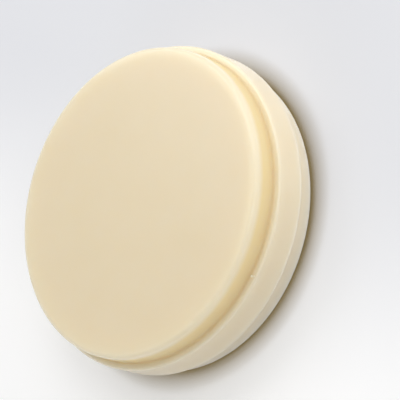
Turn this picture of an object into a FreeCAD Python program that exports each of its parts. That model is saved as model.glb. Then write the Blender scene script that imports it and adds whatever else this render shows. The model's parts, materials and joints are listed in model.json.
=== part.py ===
import FreeCAD, Part
import os
import Sketcher

# A round acrylic blank that is milled into temporary crowns and bridges.
# It is one pressed and turned piece: a round body with a wider shoulder about its
# middle, which the machine's holder grips. It lies on its lower face, with its axis
# along +Z and the origin at the middle of that face.

# Driving dimensions, in millimetres
SIZES = {
    "shoulder_diameter": 98.5,    # across the shoulder, the size that fits the holder's ring
    "shoulder_height": 10.0,      # thickness of the shoulder, between the holder's clamping faces
    "shoulder_step": 2.25,        # how far the shoulder stands out of the body all round
    "upper_height": 7.5,          # body above the shoulder
    "lower_height": 7.5,          # body below the shoulder
    "face_rounding": 1.5,         # radius of the soft edge round each end face
    "shoulder_chamfer": 0.4,      # turned bevel on each edge of the shoulder, at 45 degrees
}

# The bevel takes at most this share of the step, so that a clamping ring stays flat beside it
LARGEST_BEVEL_SHARE = 0.6

doc = FreeCAD.newDocument("MillingBlock")


def make_sheet(values):
    """Puts each driving dimension in its own named cell."""
    sheet = doc.addObject("Spreadsheet::Sheet", "Sizes")
    for row, (name, value) in enumerate(values.items(), start=1):
        sheet.set("A%d" % row, name)
        sheet.set("B%d" % row, str(value))
        sheet.setAlias("B%d" % row, name)
    doc.recompute()
    return sheet


sheet = make_sheet(SIZES)


def size(name):
    """A driving dimension's present value, used to place things before they are bound."""
    return float(getattr(sheet, name))


def origin_feature(body, role):
    """One of the body's own origin planes or axes."""
    return next(f for f in body.Origin.OriginFeatures if f.Role == role)


def half_section(body):
    """Half of the section through the axis: X is the radius, Y the height."""
    sketch = body.newObject("Sketcher::SketchObject", "HalfSection")
    sketch.AttachmentSupport = [(origin_feature(body, "XZ_Plane"), "")]
    sketch.MapMode = "FlatFace"

    shoulder_radius = size("shoulder_diameter") / 2
    body_radius = shoulder_radius - size("shoulder_step")
    shoulder_bottom = size("lower_height")
    shoulder_top = shoulder_bottom + size("shoulder_height")
    top = shoulder_top + size("upper_height")

    outline = [
        (0, 0), (body_radius, 0), (body_radius, shoulder_bottom),
        (shoulder_radius, shoulder_bottom), (shoulder_radius, shoulder_top),
        (body_radius, shoulder_top), (body_radius, top), (0, top),
    ]
    corners = [FreeCAD.Vector(x, y, 0) for x, y in outline]
    for start, end in zip(corners, corners[1:] + corners[:1]):
        sketch.addGeometry(Part.LineSegment(start, end))
    (base, lower_side, under_step, shoulder_side,
     upper_step, upper_side, face, axis) = range(len(outline))

    lines = len(outline)
    for line in range(lines):
        sketch.addConstraint(Sketcher.Constraint("Coincident", line, 2, (line + 1) % lines, 1))
    for line in (base, under_step, upper_step, face):
        sketch.addConstraint(Sketcher.Constraint("Horizontal", line))
    for line in (lower_side, shoulder_side, upper_side, axis):
        sketch.addConstraint(Sketcher.Constraint("Vertical", line))
    sketch.addConstraint(Sketcher.Constraint("Coincident", base, 1, -1, 1))

    def bind(kind, line, value, expression):
        number = sketch.addConstraint(Sketcher.Constraint(kind, line, 1, line, 2, value))
        sketch.setExpression("Constraints[%d]" % number, expression)

    bind("DistanceX", base, body_radius, "Sizes.shoulder_diameter / 2 - Sizes.shoulder_step")
    bind("DistanceY", lower_side, shoulder_bottom, "Sizes.lower_height")
    bind("DistanceX", under_step, shoulder_radius - body_radius, "Sizes.shoulder_step")
    bind("DistanceY", shoulder_side, size("shoulder_height"), "Sizes.shoulder_height")
    bind("DistanceY", upper_side, size("upper_height"), "Sizes.upper_height")
    # Both bosses are turned to one diameter, so their sides stand in one line
    sketch.addConstraint(Sketcher.Constraint("Vertical", lower_side, 1, upper_side, 2))
    return sketch


def turn(body, sketch):
    """Turns the half section a full circle about the axis."""
    turned = body.newObject("PartDesign::Revolution", "TurnedBlank")
    turned.Profile = sketch
    turned.ReferenceAxis = (sketch, ["V_Axis"])
    turned.Angle = 360
    doc.recompute()
    return turned


def circles_at(shape, radius, heights):
    """Names of the edges that are full circles of this radius at these heights."""
    names = []
    for number, edge in enumerate(shape.Edges, start=1):
        if not isinstance(edge.Curve, Part.Circle):
            continue
        close_radius = abs(edge.Curve.Radius - radius) < 0.01
        close_height = any(abs(edge.Curve.Center.z - height) < 0.01 for height in heights)
        if close_radius and close_height:
            names.append("Edge%d" % number)
    return names


def soften(body, base, feature, name, radius, heights, dimension, expression):
    """Rounds or bevels the circular edges of one radius at the given heights."""
    edges = circles_at(base.Shape, radius, heights)
    if len(edges) != len(heights):
        raise RuntimeError("%s found %d of its %d edges" % (name, len(edges), len(heights)))
    softened = body.newObject(feature, name)
    softened.Base = (base, edges)
    softened.setExpression(dimension, expression)
    doc.recompute()
    body.Tip = softened
    return softened


def milling_block():
    """The whole blank: the turned body, its bevelled shoulder and its soft faces."""
    body = doc.addObject("PartDesign::Body", "Block")
    body.Label = "milling_block"
    turned = turn(body, half_section(body))

    shoulder_radius = size("shoulder_diameter") / 2
    body_radius = shoulder_radius - size("shoulder_step")
    shoulder_bottom = size("lower_height")
    shoulder_top = shoulder_bottom + size("shoulder_height")
    top = shoulder_top + size("upper_height")

    largest_bevel = "%s * Sizes.shoulder_step" % LARGEST_BEVEL_SHARE
    bevelled = soften(body, turned, "PartDesign::Chamfer", "ShoulderBevels",
                      shoulder_radius, [shoulder_bottom, shoulder_top],
                      "Size", "min(Sizes.shoulder_chamfer; %s)" % largest_bevel)
    soften(body, bevelled, "PartDesign::Fillet", "FaceEdges",
           body_radius, [0, top], "Radius", "Sizes.face_rounding")
    return body


def check(document, bodies):
    """Stops if any object failed to build, or any body isn't one sound solid."""
    for item in document.Objects:
        if {"Invalid", "Error"} & set(item.State):
            raise RuntimeError("%s failed: %s" % (item.Name, item.State))
    for body in bodies:
        shape = body.Shape
        if shape.isNull() or not shape.isValid() or len(shape.Solids) != 1:
            raise RuntimeError("%s has no sound solid" % body.Label)


bodies = [milling_block()]
doc.recompute()
check(doc, bodies)

os.makedirs("parts", exist_ok=True)
for body in bodies:
    body.Shape.exportStep(os.path.join("parts", body.Label + ".step"))
    box = body.Shape.optimalBoundingBox()
    print("%s %.2f x %.2f x %.2f mm, %.0f mm3"
          % (body.Label, box.XLength, box.YLength, box.ZLength, body.Shape.Volume))
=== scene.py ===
import json
import math

import bmesh
import bpy
from mathutils import Matrix, Vector, noise


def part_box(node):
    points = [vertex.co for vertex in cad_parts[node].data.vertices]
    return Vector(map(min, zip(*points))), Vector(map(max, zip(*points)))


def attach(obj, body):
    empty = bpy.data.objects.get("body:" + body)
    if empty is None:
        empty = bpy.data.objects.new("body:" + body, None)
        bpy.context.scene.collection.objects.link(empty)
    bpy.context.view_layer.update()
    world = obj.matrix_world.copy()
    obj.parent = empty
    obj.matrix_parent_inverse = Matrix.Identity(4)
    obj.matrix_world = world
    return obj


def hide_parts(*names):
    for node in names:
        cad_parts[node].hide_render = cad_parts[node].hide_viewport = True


bl_info = {
    "name": "Dental Milling Block",
    "version": (1, 0, 0),
    "blender": (4, 5, 0),
    "location": "View3D > Sidebar > Milling Block",
    "description": "A stepped acrylic milling block with its finish, floor, lamps and camera",
    "category": "Object",
}

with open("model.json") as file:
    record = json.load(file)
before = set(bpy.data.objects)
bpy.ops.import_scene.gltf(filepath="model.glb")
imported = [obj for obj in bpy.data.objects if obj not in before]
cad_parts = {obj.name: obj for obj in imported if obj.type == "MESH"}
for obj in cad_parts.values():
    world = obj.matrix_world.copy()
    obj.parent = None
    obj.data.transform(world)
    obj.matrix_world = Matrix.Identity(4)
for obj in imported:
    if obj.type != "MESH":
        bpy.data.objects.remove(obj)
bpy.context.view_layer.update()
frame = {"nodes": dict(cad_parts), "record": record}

MM = 0.001
NODE = "milling_block"
BODY = "root"
WHITE = "#FFFFFF"

# A Mix node's sockets for colours, by number, since its sockets for other kinds share their names
SHARE, FIRST, SECOND = 0, 6, 7
MIXED = 2


# Sizes read from the frame

def mount(name):
    """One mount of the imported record."""
    return next(m for m in frame["record"]["mounts"] if m["name"] == name)


def widest_between(low, high):
    """Largest distance from the axis of the frame's surface between two heights."""
    points = [v.co for v in frame["nodes"][NODE].data.vertices]
    return max(math.hypot(p.x, p.y) for p in points if low <= p.z <= high)


HAIR = 0.01 * MM
SHOULDER_LOW = mount("lower_clamping_face")["pos_m"][2]
SHOULDER_HIGH = mount("upper_clamping_face")["pos_m"][2]
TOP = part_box(NODE)[1].z
SHOULDER_RADIUS = mount("shoulder")["dims"]["r_mm"] * MM
BODY_RADIUS = widest_between(SHOULDER_HIGH + HAIR, TOP)
FACE_RADIUS = widest_between(TOP - HAIR, TOP + HAIR)
RING_RADIUS = widest_between(SHOULDER_HIGH - HAIR, SHOULDER_HIGH + HAIR)


# Settings that a user would change

class BlockSettings(bpy.types.PropertyGroup):
    """Sizes of the turned block."""
    body_radius: bpy.props.FloatProperty(
        name="Body radius", description="Radius of the body above and below the shoulder",
        default=BODY_RADIUS, unit="LENGTH")
    shoulder_radius: bpy.props.FloatProperty(
        name="Shoulder radius", description="Radius of the wider band that the holder grips",
        default=SHOULDER_RADIUS, unit="LENGTH")
    lower_height: bpy.props.FloatProperty(
        name="Lower height", description="Height of the shoulder's lower side above the resting face",
        default=SHOULDER_LOW, unit="LENGTH")
    shoulder_height: bpy.props.FloatProperty(
        name="Shoulder height", description="Thickness of the shoulder",
        default=SHOULDER_HIGH - SHOULDER_LOW, unit="LENGTH")
    upper_height: bpy.props.FloatProperty(
        name="Upper height", description="Height of the body above the shoulder",
        default=TOP - SHOULDER_HIGH, unit="LENGTH")
    face_rounding: bpy.props.FloatProperty(
        name="Face rounding", description="Radius of the soft edge round each face",
        default=BODY_RADIUS - FACE_RADIUS, unit="LENGTH")
    shoulder_bevel: bpy.props.FloatProperty(
        name="Shoulder bevel", description="Width of the turned bevel on the shoulder's edges",
        default=SHOULDER_RADIUS - RING_RADIUS, unit="LENGTH")
    corner_radius: bpy.props.FloatProperty(
        name="Corner radius", description="Radius the cutting tool's nose leaves in the step's corners",
        default=0.6 * MM, unit="LENGTH")
    edge_softness: bpy.props.FloatProperty(
        name="Edge softness", description="Radius that polishing leaves on the bevel's edges",
        default=0.68 * MM, unit="LENGTH")
    facet_length: bpy.props.FloatProperty(
        name="Facet length", description="Longest facet across the section's straight runs",
        default=2.0 * MM, unit="LENGTH")
    divisions: bpy.props.IntProperty(
        name="Divisions", description="Facets round the circumference", default=288, min=24)


class CrumbSettings(bpy.types.PropertyGroup):
    """Crumb of swarf caught in the step's corner."""
    size: bpy.props.FloatProperty(
        name="Size", description="Length of the larger grain", default=0.75 * MM, unit="LENGTH")
    small_share: bpy.props.FloatProperty(
        name="Small share", description="Length of the smaller grain beside it, as a share of the larger",
        default=0.5, min=0.1, max=1.0, subtype="FACTOR")
    direction: bpy.props.FloatProperty(
        name="Direction", description="Angle of the crumb about the block's axis, from +X",
        default=math.radians(257.1), subtype="ANGLE")
    off_body: bpy.props.FloatProperty(
        name="Off body", description="Distance of the crumb's middle from the side of the body",
        default=0.75 * MM, unit="LENGTH")
    colour: bpy.props.StringProperty(
        name="Crumb colour", description="sRGB colour of the fresh swarf", default="#FBF6E6")
    # A second, slightly darker colour that the tear noise mixes in where it is high, the same noise that
    # raises the bump
    tear_colour: bpy.props.StringProperty(
        name="Hollow colour", description="sRGB colour in the hollows of its torn surface", default="#F3EAD2")
    tear_width: bpy.props.FloatProperty(
        name="Tear width", description="Width of the tears in its surface", default=0.15 * MM, unit="LENGTH")
    tear_depth: bpy.props.FloatProperty(
        name="Tear depth", description="Depth of the tears in its surface", default=0.03 * MM, unit="LENGTH")
    scatter_depth: bpy.props.FloatProperty(
        name="Scatter depth", description="How far light travels inside a grain between turns",
        default=0.3 * MM, unit="LENGTH")


class FinishSettings(bpy.types.PropertyGroup):
    """Colours and depths of the acrylic."""
    body_colour: bpy.props.StringProperty(
        name="Body colour", description="sRGB colour of the acrylic in the mass", default="#E6D7B7")
    cloud_colour: bpy.props.StringProperty(
        name="Cloud colour", description="sRGB colour of its paler clouds", default="#E7D9BC")
    cloud_size: bpy.props.FloatProperty(
        name="Cloud size", description="Distance between the clouds", default=12 * MM, unit="LENGTH")
    # Painted shade: the gold painted on the side of the upper body, in place of the shade above the step
    painted_step_shade_colour: bpy.props.StringProperty(
        name="Deep colour", description="sRGB colour where light has come a long way through the acrylic",
        default="#E7D3A0")
    # Painted light: the colours painted below the shoulder and at the edge that touches the bench, in place
    # of the bench's light
    painted_foot_light_colour: bpy.props.StringProperty(
        name="Pale colour", description="sRGB colour of the body below the shoulder, next to the bench",
        default="#E9DBBF")
    painted_edge_light_colour: bpy.props.StringProperty(
        name="Edge colour", description="sRGB colour of the edge that touches the bench", default="#F0E4CE")
    scatter_depth: bpy.props.FloatProperty(
        name="Scatter depth", description="How far light travels inside the acrylic between turns",
        default=8.0 * MM, unit="LENGTH")
    roughness: bpy.props.FloatProperty(
        name="Roughness", description="Roughness of the fine turned surface where it shines most",
        default=0.21, min=0.0, max=1.0, subtype="FACTOR")
    handled_roughness: bpy.props.FloatProperty(
        name="Handled roughness", description="Roughness where handling has dulled it most",
        default=0.27, min=0.0, max=1.0, subtype="FACTOR")
    handled_size: bpy.props.FloatProperty(
        name="Handled size", description="Distance between the dull patches", default=25 * MM, unit="LENGTH")
    mark_spacing: bpy.props.FloatProperty(
        name="Mark spacing", description="Distance between the lathe tool's feed marks",
        default=0.30 * MM, unit="LENGTH")
    mark_depth: bpy.props.FloatProperty(
        name="Mark depth", description="Depth of the feed marks that polishing has left",
        default=0.0015 * MM, unit="LENGTH")


class StageSettings(bpy.types.PropertyGroup):
    """Floor, lamps and camera."""
    floor_size: bpy.props.FloatProperty(
        name="Floor size", description="Side of the square floor", default=6.0, unit="LENGTH")
    floor_colour: bpy.props.StringProperty(
        name="Floor colour", description="sRGB colour that the floor throws back at the block",
        default="#F0F3FB")
    # Painted light falloff: the camera sees the floor run from the first colour to the second, which is also
    # the backdrop's
    near_floor: bpy.props.StringProperty(
        name="Near floor", description="sRGB colour of the floor's bright side in the picture",
        default=WHITE)
    far_floor: bpy.props.StringProperty(
        name="Far floor", description="sRGB colour of the floor's dim side in the picture",
        default="#E2E3E7")
    floor_glow: bpy.props.FloatProperty(
        name="Floor glow", description="Share of the floor that the camera sees as lit evenly",
        default=0.33, min=0.0, max=1.0, subtype="FACTOR")
    # Painted shadow: the colour painted on the floor right beside the block, seen only by the camera
    painted_contact_shadow_colour: bpy.props.StringProperty(
        name="Contact colour", description="sRGB colour that the floor turns to right beside the block",
        default="#94835C")
    contact_reach: bpy.props.FloatProperty(
        name="Contact reach", description="How far from the block the floor darkens",
        default=9 * MM, unit="LENGTH")
    surround: bpy.props.FloatProperty(
        name="Surround", description="Strength of the even white light from all round", default=0.34)
    lamp_distance: bpy.props.FloatProperty(
        name="Lamp distance", description="Distance of each lamp from the block", default=1.0, unit="LENGTH")
    lamp_size: bpy.props.FloatProperty(
        name="Lamp size", description="Side of each square lamp", default=0.6, unit="LENGTH")
    camera_distance: bpy.props.FloatProperty(
        name="Camera distance", description="Distance from the aim point to the lens",
        default=632.38 * MM, unit="LENGTH")
    camera_elevation: bpy.props.FloatProperty(
        name="Camera elevation", description="Angle of the view below the horizontal",
        default=math.radians(46.142), subtype="ANGLE")
    camera_azimuth: bpy.props.FloatProperty(
        name="Camera azimuth", description="Direction of the view about the vertical, zero along +Y",
        default=math.radians(0.748), subtype="ANGLE")
    camera_roll: bpy.props.FloatProperty(
        name="Camera roll", description="Turn of the picture about the line of sight",
        default=math.radians(72.459), subtype="ANGLE")
    camera_lens: bpy.props.FloatProperty(
        name="Camera lens", description="Focal length on a 36 mm wide sensor", default=198.81, unit="CAMERA")
    aim: bpy.props.FloatVectorProperty(
        name="Aim", description="Point on the upper face at the middle of the picture",
        default=(5.718 * MM, -25.506 * MM, TOP), subtype="TRANSLATION")


# Helpers shared by the pieces

def linear(colour):
    """Turns a hex sRGB colour into linear red, green, blue and alpha."""
    values = []
    for start in (1, 3, 5):
        share = int(colour[start:start + 2], 16) / 255
        values.append(share / 12.92 if share <= 0.04045 else ((share + 0.055) / 1.055) ** 2.4)
    return (*values, 1.0)


def add_node(tree, kind, inputs=None, **settings):
    """Adds a node with its settings, and sets or links its inputs."""
    node = tree.nodes.new(kind)
    for name, value in settings.items():
        setattr(node, name, value)
    for socket, value in (inputs or {}).items():
        if isinstance(value, bpy.types.NodeSocket):
            tree.links.new(value, node.inputs[socket])
        else:
            node.inputs[socket].default_value = value
    return node


def new_material(name):
    """An empty node material, with its tree and output."""
    material = bpy.data.materials.new(name)
    material.use_nodes = True
    material.node_tree.nodes.clear()
    return material, material.node_tree, add_node(material.node_tree, "ShaderNodeOutputMaterial")


def new_object(name, data):
    """Links a new object at the origin."""
    thing = bpy.data.objects.new(name, data)
    bpy.context.scene.collection.objects.link(thing)
    return thing


# Polymethyl methacrylate, turned and lightly polished

# Where the painted gold shade lies on the side of the upper body
PAINTED_SHADE_START = 1.2 * MM    # below the face, where it sets in
PAINTED_SHADE_FULL = 3.2 * MM     # below the face, where it is full
STEP_FADE = 2.0 * MM     # above the step, where it starts to fade towards the corner
STEP_SHARE = 0.5         # share of it that is left in the corner
SIDE_FADE = 0.7 * MM     # off the side of the body, where it has gone

# Where the painted light on the body below the shoulder lies
FOOT_START = 0.2 * MM    # above the shoulder's lower side, where it sets in
FOOT_FULL = 0.8 * MM     # below the shoulder's lower side, where it is full


def turned_pmma(finish, sizes):
    """Turned PMMA, cream, satin and translucent so its edges glow, with painted shade on its step and painted
    light below its shoulder.
    """
    material, tree, output = new_material("turned_pmma")
    place = add_node(tree, "ShaderNodeTexCoord").outputs["Object"]

    # Clouds: the pressed powder is very slightly uneven in shade
    clouds = add_node(tree, "ShaderNodeTexNoise", {
        "Vector": place, "Scale": 1 / finish.cloud_size, "Detail": 2.0, "Roughness": 0.5}).outputs["Fac"]
    cream = add_node(tree, "ShaderNodeMix", {
        SHARE: clouds, FIRST: linear(finish.body_colour), SECOND: linear(finish.cloud_colour),
    }, data_type="RGBA").outputs[MIXED]

    # Painted shade: the side of the upper body is painted gold by place, most of all halfway down to the
    # shoulder, in place of the shade that light coming the long way through the acrylic takes on there
    shoulder_top = sizes.lower_height + sizes.shoulder_height
    face = shoulder_top + sizes.upper_height
    xyz = add_node(tree, "ShaderNodeSeparateXYZ", {"Vector": place}).outputs
    flat = add_node(tree, "ShaderNodeCombineXYZ", {"X": xyz["X"], "Y": xyz["Y"]}).outputs["Vector"]
    radius = add_node(tree, "ShaderNodeVectorMath", {0: flat}, operation="LENGTH").outputs["Value"]
    below_face = add_node(tree, "ShaderNodeMapRange", {
        "Value": xyz["Z"], "From Min": face - PAINTED_SHADE_START, "From Max": face - PAINTED_SHADE_FULL,
    }, interpolation_type="SMOOTHSTEP").outputs["Result"]
    above_step = add_node(tree, "ShaderNodeMapRange", {
        "Value": xyz["Z"], "From Min": shoulder_top + STEP_FADE, "From Max": shoulder_top,
        "To Min": 1.0, "To Max": STEP_SHARE}, interpolation_type="SMOOTHSTEP").outputs["Result"]
    at_side = add_node(tree, "ShaderNodeMapRange", {
        "Value": radius, "From Min": sizes.body_radius, "From Max": sizes.body_radius + SIDE_FADE,
        "To Min": 1.0, "To Max": 0.0}).outputs["Result"]
    band = add_node(tree, "ShaderNodeMath", {0: below_face, 1: above_step}, operation="MULTIPLY").outputs[0]
    painted_shade_share = add_node(tree, "ShaderNodeMath", {0: band, 1: at_side}, operation="MULTIPLY").outputs[0]
    painted_step_shade = add_node(tree, "ShaderNodeMix", {
        SHARE: painted_shade_share, FIRST: cream, SECOND: linear(finish.painted_step_shade_colour)}, data_type="RGBA").outputs[MIXED]

    # Painted light: below the shoulder the body is painted paler, most at the very edge, in place of the
    # white bench's light shining into the acrylic
    foot = add_node(tree, "ShaderNodeMapRange", {
        "Value": xyz["Z"], "From Min": sizes.lower_height + FOOT_START,
        "From Max": sizes.lower_height - FOOT_FULL}, interpolation_type="SMOOTHSTEP").outputs["Result"]
    edge = add_node(tree, "ShaderNodeMapRange", {
        "Value": xyz["Z"], "From Min": sizes.lower_height / 2, "From Max": 0.0,
    }, interpolation_type="SMOOTHSTEP").outputs["Result"]
    pale = add_node(tree, "ShaderNodeMix", {
        SHARE: edge, FIRST: linear(finish.painted_foot_light_colour), SECOND: linear(finish.painted_edge_light_colour),
    }, data_type="RGBA").outputs[MIXED]
    tone = add_node(tree, "ShaderNodeMix", {
        SHARE: foot, FIRST: painted_step_shade, SECOND: pale}, data_type="RGBA").outputs[MIXED]

    # Feed marks: rings on the faces and lines round the sides, so highlights run along them. Real
    # ones can be finer, and these are as coarse as they need to be to show
    along = add_node(tree, "ShaderNodeMath", {0: radius, 1: xyz["Z"]}, operation="ADD").outputs[0]
    turns = add_node(tree, "ShaderNodeMath", {
        0: along, 1: 2 * math.pi / finish.mark_spacing}, operation="MULTIPLY").outputs[0]
    marks = add_node(tree, "ShaderNodeMath", {0: turns}, operation="SINE").outputs[0]
    bumped = add_node(tree, "ShaderNodeBump", {
        "Height": marks, "Strength": 1.0, "Distance": finish.mark_depth / 2}).outputs["Normal"]

    # Handling: the satin gloss is a little duller in soft patches. Roughness stays under 0.28,
    # above which the light's entry changes in a step that shows as islands
    handled = add_node(tree, "ShaderNodeTexNoise", {
        "Vector": place, "Scale": 1 / finish.handled_size, "Detail": 3.0, "Roughness": 0.6}).outputs["Fac"]
    gloss = add_node(tree, "ShaderNodeMapRange", {
        "Value": handled, "From Min": 0.3, "From Max": 0.7,
        "To Min": finish.roughness, "To Max": finish.handled_roughness,
    }, interpolation_type="SMOOTHSTEP").outputs["Result"]

    shader = add_node(tree, "ShaderNodeBsdfPrincipled", {
        "Base Color": tone,
        "Normal": bumped,
        "Roughness": gloss,
        "IOR": 1.49,
        "Subsurface Weight": 1.0,
        "Subsurface Radius": (1.0, 1.0, 1.0),
        "Subsurface Scale": finish.scatter_depth,
    })
    tree.links.new(shader.outputs["BSDF"], output.inputs["Surface"])
    return material


# The turned block

def section_tree():
    """Geometry nodes that turn the block's half section about its axis."""
    tree = bpy.data.node_groups.new("turned_section", "GeometryNodeTree")
    made = tree.interface.new_socket
    for name in ("Body Radius", "Shoulder Radius", "Lower Height", "Shoulder Height", "Upper Height",
                 "Face Rounding", "Shoulder Bevel", "Corner Radius", "Edge Softness", "Facet Length"):
        made(name=name, in_out="INPUT", socket_type="NodeSocketFloat")
    made(name="Divisions", in_out="INPUT", socket_type="NodeSocketInt")
    made(name="Material", in_out="INPUT", socket_type="NodeSocketMaterial")
    made(name="Geometry", in_out="OUTPUT", socket_type="NodeSocketGeometry")
    given = tree.nodes.new("NodeGroupInput").outputs

    body = given["Body Radius"]
    shoulder = given["Shoulder Radius"]
    bevel = given["Shoulder Bevel"]
    soft = given["Edge Softness"]
    low = given["Lower Height"]
    high = add_node(tree, "ShaderNodeMath", {0: low, 1: given["Shoulder Height"]}, operation="ADD").outputs[0]
    top = add_node(tree, "ShaderNodeMath", {0: high, 1: given["Upper Height"]}, operation="ADD").outputs[0]
    ring = add_node(tree, "ShaderNodeMath", {0: shoulder, 1: bevel}, operation="SUBTRACT").outputs[0]
    low_side = add_node(tree, "ShaderNodeMath", {0: low, 1: bevel}, operation="ADD").outputs[0]
    high_side = add_node(tree, "ShaderNodeMath", {0: high, 1: bevel}, operation="SUBTRACT").outputs[0]

    # The section's ten corners, from the middle of the lower face round to the middle of the
    # upper, each with its radius, its height and its rounding
    corners = [
        (0.0, 0.0, 0.0),
        (body, 0.0, given["Face Rounding"]),
        (body, low, given["Corner Radius"]),
        (ring, low, soft),
        (shoulder, low_side, soft),
        (shoulder, high_side, soft),
        (ring, high, soft),
        (body, high, given["Corner Radius"]),
        (body, top, given["Face Rounding"]),
        (0.0, top, 0.0),
    ]
    index = add_node(tree, "GeometryNodeInputIndex").outputs[0]
    chosen = []
    for values in zip(*corners):
        switch = add_node(tree, "GeometryNodeIndexSwitch", {"Index": index}, data_type="FLOAT")
        while len(switch.index_switch_items) < len(values):
            switch.index_switch_items.new()
        for socket, value in zip(switch.inputs[1:], values):
            if isinstance(value, bpy.types.NodeSocket):
                tree.links.new(value, socket)
            else:
                socket.default_value = value
        chosen.append(switch.outputs[0])
    radius, height, rounding = chosen

    corner = add_node(tree, "ShaderNodeCombineXYZ", {"X": radius, "Z": height}).outputs[0]
    line = add_node(tree, "GeometryNodeMeshLine", {"Count": len(corners)}).outputs[0]
    placed = add_node(tree, "GeometryNodeSetPosition", {"Geometry": line, "Position": corner}).outputs[0]
    path = add_node(tree, "GeometryNodeMeshToCurve", {"Mesh": placed}).outputs[0]
    rounded = add_node(tree, "GeometryNodeFilletCurve", {
        "Curve": path, "Radius": rounding, "Count": 9, "Limit Radius": True}, mode="POLY").outputs[0]

    # Straight runs are cut so that no facet is longer than asked
    here = add_node(tree, "GeometryNodeInputPosition").outputs[0]
    after = add_node(tree, "FunctionNodeIntegerMath", {0: index, 1: 1}, operation="ADD").outputs[0]
    following = add_node(tree, "GeometryNodeFieldAtIndex", {
        "Index": after, "Value": here}, data_type="FLOAT_VECTOR").outputs[0]
    run = add_node(tree, "ShaderNodeVectorMath", {
        0: here, 1: following}, operation="DISTANCE").outputs["Value"]
    lengths = add_node(tree, "ShaderNodeMath", {
        0: run, 1: given["Facet Length"]}, operation="DIVIDE").outputs[0]
    cuts = add_node(tree, "ShaderNodeMath", {0: lengths}, operation="FLOOR").outputs[0]
    section = add_node(tree, "GeometryNodeSubdivideCurve", {"Curve": rounded, "Cuts": cuts}).outputs[0]

    # A grid with one row for each point of the section is wrapped round the axis
    count = add_node(tree, "GeometryNodeAttributeDomainSize", {"Geometry": section},
                     component="CURVE").outputs["Point Count"]
    columns = add_node(tree, "FunctionNodeIntegerMath", {
        0: given["Divisions"], 1: 1}, operation="ADD").outputs[0]
    grid = add_node(tree, "GeometryNodeMeshGrid", {
        "Vertices X": count, "Vertices Y": columns}).outputs["Mesh"]
    row = add_node(tree, "FunctionNodeIntegerMath", {
        0: index, 1: columns}, operation="DIVIDE_FLOOR").outputs[0]
    column = add_node(tree, "FunctionNodeIntegerMath", {
        0: index, 1: columns}, operation="MODULO").outputs[0]
    point = add_node(tree, "GeometryNodeSampleIndex", {"Geometry": section, "Value": here, "Index": row},
                     data_type="FLOAT_VECTOR", domain="POINT").outputs[0]
    share = add_node(tree, "ShaderNodeMath", {
        0: column, 1: given["Divisions"]}, operation="DIVIDE").outputs[0]
    angle = add_node(tree, "ShaderNodeMath", {0: share, 1: 2 * math.pi}, operation="MULTIPLY").outputs[0]
    turned = add_node(tree, "ShaderNodeVectorRotate", {
        "Vector": point, "Axis": (0.0, 0.0, 1.0), "Angle": angle}, rotation_type="AXIS_ANGLE").outputs[0]
    wrapped = add_node(tree, "GeometryNodeSetPosition", {
        "Geometry": grid, "Position": turned}).outputs[0]
    closed = add_node(tree, "GeometryNodeMergeByDistance", {
        "Geometry": wrapped, "Distance": 1e-6}).outputs[0]
    outward = add_node(tree, "GeometryNodeFlipFaces", {"Mesh": closed}).outputs[0]
    smooth = add_node(tree, "GeometryNodeSetShadeSmooth", {"Geometry": outward}).outputs[0]
    whole = add_node(tree, "GeometryNodeRealizeInstances", {"Geometry": smooth}).outputs[0]
    coated = add_node(tree, "GeometryNodeSetMaterial", {
        "Geometry": whole, "Material": given["Material"]}).outputs[0]
    output = tree.nodes.new("NodeGroupOutput")
    tree.links.new(coated, output.inputs["Geometry"])
    return tree


def set_inputs(modifier, values):
    """Sets a geometry nodes modifier's inputs by their sockets' identifiers."""
    sockets = {s.name: s.identifier for s in modifier.node_group.interface.items_tree if s.in_out == "INPUT"}
    for name, value in values.items():
        modifier[sockets[name]] = value


class MILLING_OT_block(bpy.types.Operator):
    """Make the turned block from its section"""
    bl_idname = "milling.block"
    bl_label = "Turned Block"

    def execute(self, context):
        sizes = context.scene.milling_block
        material = turned_pmma(context.scene.milling_finish, sizes)
        maker = new_object("block_maker", bpy.data.meshes.new("block_maker"))
        modifier = maker.modifiers.new("turning", "NODES")
        modifier.node_group = section_tree()
        set_inputs(modifier, {
            "Body Radius": sizes.body_radius,
            "Shoulder Radius": sizes.shoulder_radius,
            "Lower Height": sizes.lower_height,
            "Shoulder Height": sizes.shoulder_height,
            "Upper Height": sizes.upper_height,
            "Face Rounding": sizes.face_rounding,
            "Shoulder Bevel": sizes.shoulder_bevel,
            "Corner Radius": sizes.corner_radius,
            "Edge Softness": sizes.edge_softness,
            "Facet Length": sizes.facet_length,
            "Divisions": sizes.divisions,
            "Material": material,
        })
        finished = maker.evaluated_get(context.evaluated_depsgraph_get())
        mesh = bpy.data.meshes.new_from_object(finished)
        if not mesh.polygons:
            raise RuntimeError("the block's section made no surface")
        bpy.data.objects.remove(maker)
        mesh.name = "turned_block"
        block = new_object("turned_block", mesh)
        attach(block, BODY)
        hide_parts(NODE)
        return {"FINISHED"}


# The crumb of swarf

def swarf_material(crumb):
    """Fresh acrylic swarf: nearly white and matt, since its torn surface scatters the light."""
    material, tree, output = new_material("acrylic_swarf")
    place = add_node(tree, "ShaderNodeTexCoord").outputs["Object"]
    tears = add_node(tree, "ShaderNodeTexNoise", {
        "Vector": place, "Scale": 1 / crumb.tear_width}).outputs["Fac"]
    shade = add_node(tree, "ShaderNodeMix", {
        SHARE: tears, FIRST: linear(crumb.colour), SECOND: linear(crumb.tear_colour),
    }, data_type="RGBA").outputs[MIXED]
    torn = add_node(tree, "ShaderNodeBump", {
        "Height": tears, "Strength": 0.6, "Distance": crumb.tear_depth}).outputs["Normal"]
    shader = add_node(tree, "ShaderNodeBsdfPrincipled", {
        "Base Color": shade,
        "Normal": torn,
        "Roughness": 0.55,
        "IOR": 1.49,
        "Subsurface Weight": 1.0,
        "Subsurface Radius": (1.0, 1.0, 1.0),
        "Subsurface Scale": crumb.scatter_depth,
    })
    tree.links.new(shader.outputs["BSDF"], output.inputs["Surface"])
    return material


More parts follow.
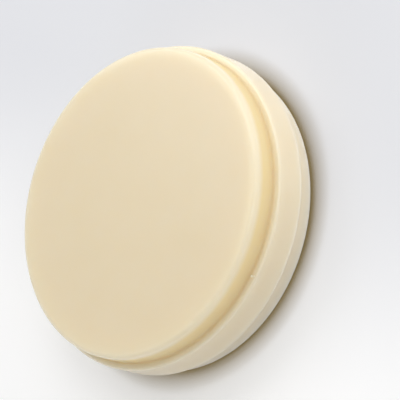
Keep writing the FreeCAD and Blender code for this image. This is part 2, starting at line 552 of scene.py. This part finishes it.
# Form of a grain
GRAIN_WIDTH = 0.8     # share of its length
GRAIN_HEIGHT = 0.7    # share of its length
GRAIN_LIFT = 0.25     # height of its middle above the ledge, as a share of its length
LUMP_HEIGHT = 0.25    # share of its radius
LUMPS_ACROSS = 1.3    # lumps to each radius

# The smaller grain's place beside the larger, outwards and round the block, in larger lengths
SMALL_OUT = 0.9
SMALL_ALONG = 0.5


def grain_of_swarf(mesh, middle, length, seed):
    """Adds one uneven grain, a little flattened, about a point."""
    made = bmesh.ops.create_icosphere(mesh, subdivisions=3, radius=1.0)
    for vertex in made["verts"]:
        lump = noise.noise(vertex.co * LUMPS_ACROSS + Vector((seed, 0.0, 0.0)))
        shape = vertex.co * (1.0 + LUMP_HEIGHT * lump)
        vertex.co = middle + Vector((shape.x, shape.y * GRAIN_WIDTH, shape.z * GRAIN_HEIGHT)) * (length / 2)


class MILLING_OT_crumb(bpy.types.Operator):
    """Make the crumb of swarf that lies in the step's corner"""
    bl_idname = "milling.crumb"
    bl_label = "Crumb"

    def execute(self, context):
        sizes = context.scene.milling_block
        crumb = context.scene.milling_crumb
        outward = Vector((math.cos(crumb.direction), math.sin(crumb.direction), 0.0))
        along = Vector((-outward.y, outward.x, 0.0))
        ledge = Vector((0.0, 0.0, sizes.lower_height + sizes.shoulder_height))
        middle = ledge + outward * (sizes.body_radius + crumb.off_body)
        beside = middle + outward * crumb.size * SMALL_OUT + along * crumb.size * SMALL_ALONG
        small = crumb.size * crumb.small_share
        mesh = bmesh.new()
        grain_of_swarf(mesh, middle + Vector((0, 0, crumb.size * GRAIN_LIFT)), crumb.size, seed=3.0)
        grain_of_swarf(mesh, beside + Vector((0, 0, small * GRAIN_LIFT)), small, seed=8.0)
        if not mesh.faces:
            raise RuntimeError("the crumb has no surface")
        data = bpy.data.meshes.new("swarf_crumb")
        mesh.to_mesh(data)
        mesh.free()
        data.shade_smooth()
        data.materials.append(swarf_material(crumb))
        piece = new_object("swarf_crumb", data)
        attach(piece, BODY)
        return {"FINISHED"}


# Floor, lamps and camera

# How the floor's shade runs
SWEEP_BRIGHT = -50 * MM       # along X, where its bright side ends
SWEEP_DIM = 40 * MM           # along X, where its dim side begins
BACKDROP_START = 150 * MM     # from the block's axis, where it starts to run into the backdrop
BACKDROP_FULL = 700 * MM      # from the block's axis, where it has the backdrop's colour

# The contact shadow by how much of the sky the floor sees
CONTACT_FULL = 0.45     # share of the sky at which the shadow is full
CONTACT_CLEAR = 0.95    # share at which it has gone
CONTACT_POWER = 0.6     # under 1, so that it fades fastest right beside the block


def floor_material(stage):
    """Matt white board, which the camera sees with a painted falloff to a cool grey away from the lamps and a
    painted contact shadow.
    """
    material, tree, output = new_material("matt_board")
    place = add_node(tree, "ShaderNodeTexCoord").outputs["Object"]
    seen = add_node(tree, "ShaderNodeLightPath").outputs["Is Camera Ray"]

    # Painted light falloff: white on the block's left, grey on its right, seen only by the camera
    xyz = add_node(tree, "ShaderNodeSeparateXYZ", {"Vector": place}).outputs
    across = add_node(tree, "ShaderNodeMapRange", {
        "Value": xyz["X"], "From Min": SWEEP_BRIGHT, "From Max": SWEEP_DIM,
    }, interpolation_type="SMOOTHSTEP").outputs["Result"]
    painted_light_falloff = add_node(tree, "ShaderNodeMix", {
        SHARE: across, FIRST: linear(stage.near_floor), SECOND: linear(stage.far_floor),
    }, data_type="RGBA").outputs[MIXED]

    # Distance: well away from the block the board runs evenly into the backdrop's grey
    distance = add_node(tree, "ShaderNodeVectorMath", {0: place}, operation="LENGTH").outputs["Value"]
    away = add_node(tree, "ShaderNodeMapRange", {
        "Value": distance, "From Min": BACKDROP_START, "From Max": BACKDROP_FULL,
    }, interpolation_type="SMOOTHSTEP").outputs["Result"]
    backdrop = add_node(tree, "ShaderNodeMix", {
        SHARE: away, FIRST: painted_light_falloff, SECOND: linear(stage.far_floor)}, data_type="RGBA").outputs[MIXED]

    # Contact shadow: warm, since the light beside the block has come through the acrylic
    opening = add_node(tree, "ShaderNodeAmbientOcclusion", {
        "Distance": stage.contact_reach}, samples=16).outputs["AO"]
    nearness = add_node(tree, "ShaderNodeMapRange", {
        "Value": opening, "From Min": CONTACT_FULL, "From Max": CONTACT_CLEAR}).outputs["Result"]
    fading = add_node(tree, "ShaderNodeMath", {0: nearness, 1: CONTACT_POWER}, operation="POWER").outputs[0]
    painted_contact_shadow = add_node(tree, "ShaderNodeMix", {
        SHARE: fading, FIRST: linear(stage.painted_contact_shadow_colour), SECOND: linear(WHITE),
    }, data_type="RGBA").outputs[MIXED]
    seen_floor = add_node(tree, "ShaderNodeMix", {
        SHARE: 1.0, FIRST: backdrop, SECOND: painted_contact_shadow}, data_type="RGBA", blend_type="MULTIPLY").outputs[MIXED]
    tone = add_node(tree, "ShaderNodeMix", {
        SHARE: seen, FIRST: linear(stage.floor_colour), SECOND: seen_floor}, data_type="RGBA").outputs[MIXED]

    shader = add_node(tree, "ShaderNodeBsdfPrincipled", {
        "Base Color": tone, "Roughness": 0.9, "Specular IOR Level": 0.2})
    glow = add_node(tree, "ShaderNodeEmission", {"Color": seen_floor, "Strength": 1.0})
    even = add_node(tree, "ShaderNodeMapRange", {
        "Value": away, "To Min": stage.floor_glow, "To Max": 1.0}).outputs["Result"]
    share = add_node(tree, "ShaderNodeMath", {0: seen, 1: even}, operation="MULTIPLY").outputs[0]
    mixed = add_node(tree, "ShaderNodeMixShader", {
        0: share, 1: shader.outputs["BSDF"], 2: glow.outputs["Emission"]})
    tree.links.new(mixed.outputs["Shader"], output.inputs["Surface"])
    return material


def studio_world(stage):
    """An even white surround that lights the block, seen by the camera as the pale backdrop."""
    world = bpy.data.worlds.new("studio")
    world.use_nodes = True
    tree = world.node_tree
    tree.nodes.clear()
    light = add_node(tree, "ShaderNodeBackground", {"Color": linear(WHITE), "Strength": stage.surround})
    wall = add_node(tree, "ShaderNodeBackground", {"Color": linear(stage.far_floor), "Strength": 1.0})
    seen = add_node(tree, "ShaderNodeLightPath").outputs["Is Camera Ray"]
    mixed = add_node(tree, "ShaderNodeMixShader", {
        0: seen, 1: light.outputs["Background"], 2: wall.outputs["Background"]})
    output = add_node(tree, "ShaderNodeOutputWorld")
    tree.links.new(mixed.outputs["Shader"], output.inputs["Surface"])
    return world


def soft_lamp(stage, name, azimuth, elevation, power, mirrored=True):
    """A square soft lamp aimed at the block, placed by compass angle and height angle in degrees."""
    data = bpy.data.lights.new(name, "AREA")
    data.shape = "SQUARE"
    data.size = stage.lamp_size
    data.energy = power
    lamp = new_object(name, data)
    lamp.visible_glossy = mirrored
    turn, lift = math.radians(azimuth), math.radians(elevation)
    outward = Vector((math.cos(lift) * math.cos(turn), math.cos(lift) * math.sin(turn), math.sin(lift)))
    target = Vector((0, 0, TOP / 2))
    lamp.location = target + outward * stage.lamp_distance
    lamp.rotation_euler = outward.to_track_quat("Z", "Y").to_euler()


def place_camera(stage):
    """The photograph's viewing angle, distance and turn."""
    data = bpy.data.cameras.new("camera")
    data.sensor_width = 36.0
    data.lens = stage.camera_lens
    data.clip_start = 0.01
    camera = new_object("camera", data)
    lift, turn = stage.camera_elevation, stage.camera_azimuth
    line = Vector((math.cos(lift) * math.sin(turn), math.cos(lift) * math.cos(turn), -math.sin(lift)))
    level = line.to_track_quat("-Z", "Y").to_matrix().to_4x4()
    rolled = level @ Matrix.Rotation(-stage.camera_roll, 4, "Z")
    camera.matrix_world = Matrix.Translation(Vector(stage.aim) - line * stage.camera_distance) @ rolled
    bpy.context.scene.camera = camera


class MILLING_OT_stage(bpy.types.Operator):
    """Make the floor, lamps, world and camera"""
    bl_idname = "milling.stage"
    bl_label = "Stage"

    def execute(self, context):
        stage = context.scene.milling_stage
        half = stage.floor_size / 2
        mesh = bpy.data.meshes.new("floor")
        mesh.from_pydata([(-half, -half, 0), (half, -half, 0), (half, half, 0), (-half, half, 0)], [],
                         [(0, 1, 2, 3)])
        mesh.materials.append(floor_material(stage))
        new_object("floor", mesh)

        soft_lamp(stage, "front_top_lamp", azimuth=300, elevation=48, power=1.8)
        soft_lamp(stage, "top_lamp", azimuth=0, elevation=48, power=3.1)
        soft_lamp(stage, "back_top_lamp", azimuth=60, elevation=48, power=3.0)
        # The low lamps aren't mirrored, or the flat face would turn white when seen along it
        soft_lamp(stage, "rim_lamp", azimuth=315, elevation=14, power=3.0, mirrored=False)
        soft_lamp(stage, "low_lamp", azimuth=180, elevation=14, power=2.8, mirrored=False)

        context.scene.world = studio_world(stage)
        place_camera(stage)
        context.scene.view_settings.view_transform = "Standard"
        return {"FINISHED"}


class MILLING_PT_sidebar(bpy.types.Panel):
    """Lists the pieces and their settings"""
    bl_idname = "MILLING_PT_sidebar"
    bl_label = "Milling Block"
    bl_space_type = "VIEW_3D"
    bl_region_type = "UI"
    bl_category = "Milling Block"

    def draw(self, context):
        layout = self.layout
        for group in GROUPS:
            settings = getattr(context.scene, group)
            box = layout.box()
            for name in settings.__annotations__:
                box.prop(settings, name)
        for operator in OPERATORS:
            layout.operator(operator.bl_idname)


GROUPS = {
    "milling_block": BlockSettings,
    "milling_crumb": CrumbSettings,
    "milling_finish": FinishSettings,
    "milling_stage": StageSettings,
}
OPERATORS = (MILLING_OT_block, MILLING_OT_crumb, MILLING_OT_stage)


def register():
    for kind in (*GROUPS.values(), *OPERATORS, MILLING_PT_sidebar):
        bpy.utils.register_class(kind)
    for name, kind in GROUPS.items():
        setattr(bpy.types.Scene, name, bpy.props.PointerProperty(type=kind))


def unregister():
    for name in GROUPS:
        delattr(bpy.types.Scene, name)
    for kind in reversed((*GROUPS.values(), *OPERATORS, MILLING_PT_sidebar)):
        bpy.utils.unregister_class(kind)


def main():
    """Makes everything in order."""
    register()
    bpy.ops.milling.block()
    bpy.ops.milling.crumb()
    bpy.ops.milling.stage()


if __name__ == "__main__":
    main()
